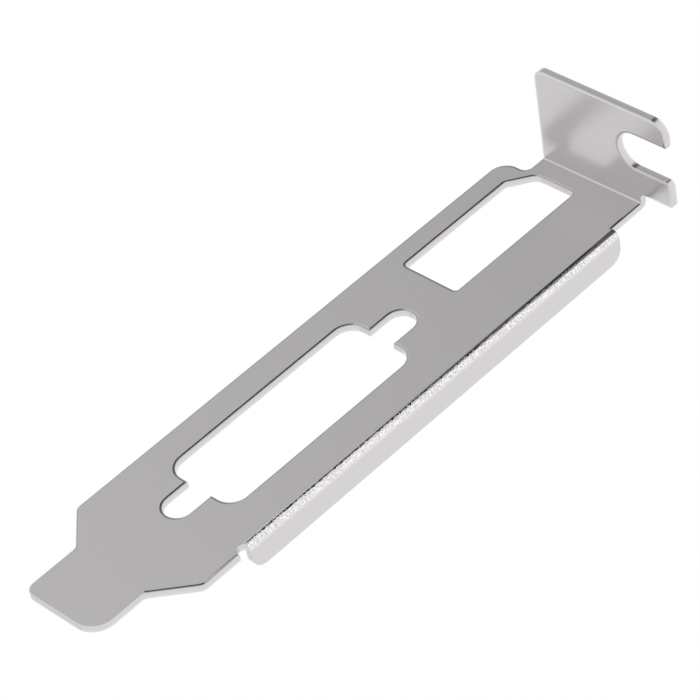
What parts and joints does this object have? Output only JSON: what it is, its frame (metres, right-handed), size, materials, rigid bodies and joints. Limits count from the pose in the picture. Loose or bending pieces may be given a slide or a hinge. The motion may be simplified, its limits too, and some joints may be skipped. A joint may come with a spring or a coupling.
{
  "type": "low profile bracket",
  "caption": "Folded sheet-steel slot bracket for a low-profile expansion card, with two connector windows, a side flange and a slotted screw tab.",
  "frame": {"origin": "on the tab's seating face, on the plate's centreline, level with the middle of the screw slot", "axes": "+X from the tongue to the tab along the plate, +Y across the plate towards its plain long edge, +Z out of the plate's outer face"},
  "size_m": [0.0792, 0.0219, 0.0162],
  "materials": {
    "bracket": "satin nickel plate on steel sheet"
  },
  "bodies": {
    "root": {"bracket": "bracket"}
  },
  "joints": []
}
